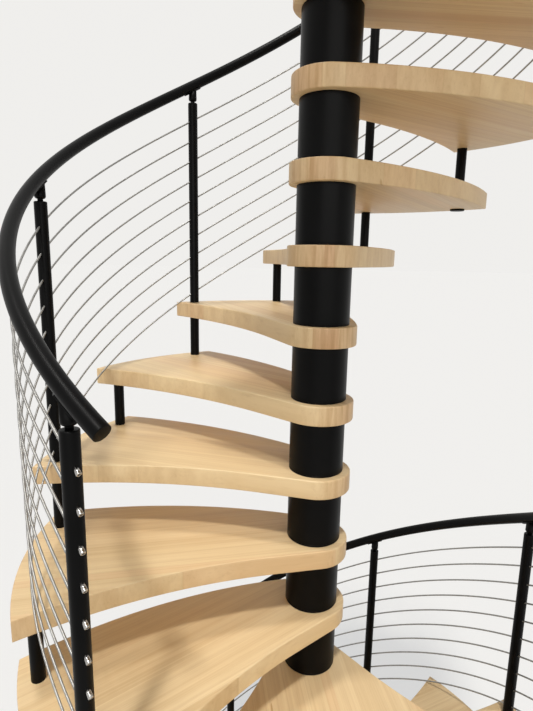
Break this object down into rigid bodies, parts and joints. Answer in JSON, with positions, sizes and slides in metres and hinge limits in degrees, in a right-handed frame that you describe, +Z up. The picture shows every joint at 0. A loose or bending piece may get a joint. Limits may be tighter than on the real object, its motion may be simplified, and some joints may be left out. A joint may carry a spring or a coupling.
{
  "type": "spiral staircase",
  "caption": "Spiral staircase with pale laminated wood treads round a black steel column, black posts and handrail, and thin curved stainless rods as infill.",
  "frame": {"origin": "on the column's axis, at the underside of the base flange", "axes": "+Z up along the column; the stair climbs clockwise seen from above"},
  "size_m": [1.7599, 1.76, 5.3036],
  "materials": {
    "wood": "satin lacquer",
    "black_steel": "satin powder coat",
    "stainless": "satin"
  },
  "bodies": {
    "root": {"base_flange": "black_steel", "guard_handrail": "black_steel", "guard_post": "black_steel", "guard_rods": "stainless", "lower_column_sleeves": "black_steel", "lower_handrail": "black_steel", "lower_posts": "black_steel", "lower_rail_saddles": "black_steel", "lower_rods": "stainless", "lower_spacer_tubes": "black_steel", "lower_tread_01": "wood", "lower_tread_02": "wood", "lower_tread_03": "wood", "lower_tread_04": "wood", "lower_tread_05": "wood", "lower_tread_06": "wood", "lower_tread_07": "wood", "lower_tread_08": "wood", "middle_landing": "wood", "newel_cap": "black_steel", "top_landing": "wood", "top_newel": "black_steel", "upper_column_sleeves": "black_steel", "upper_handrail": "black_steel", "upper_posts": "black_steel", "upper_rail_saddles": "black_steel", "upper_rods": "stainless", "upper_spacer_tubes": "black_steel", "upper_tread_01": "wood", "upper_tread_02": "wood", "upper_tread_03": "wood", "upper_tread_04": "wood", "upper_tread_05": "wood", "upper_tread_06": "wood", "upper_tread_07": "wood", "upper_tread_08": "wood", "upper_tread_09": "wood", "upper_tread_10": "wood"}
  },
  "joints": []
}
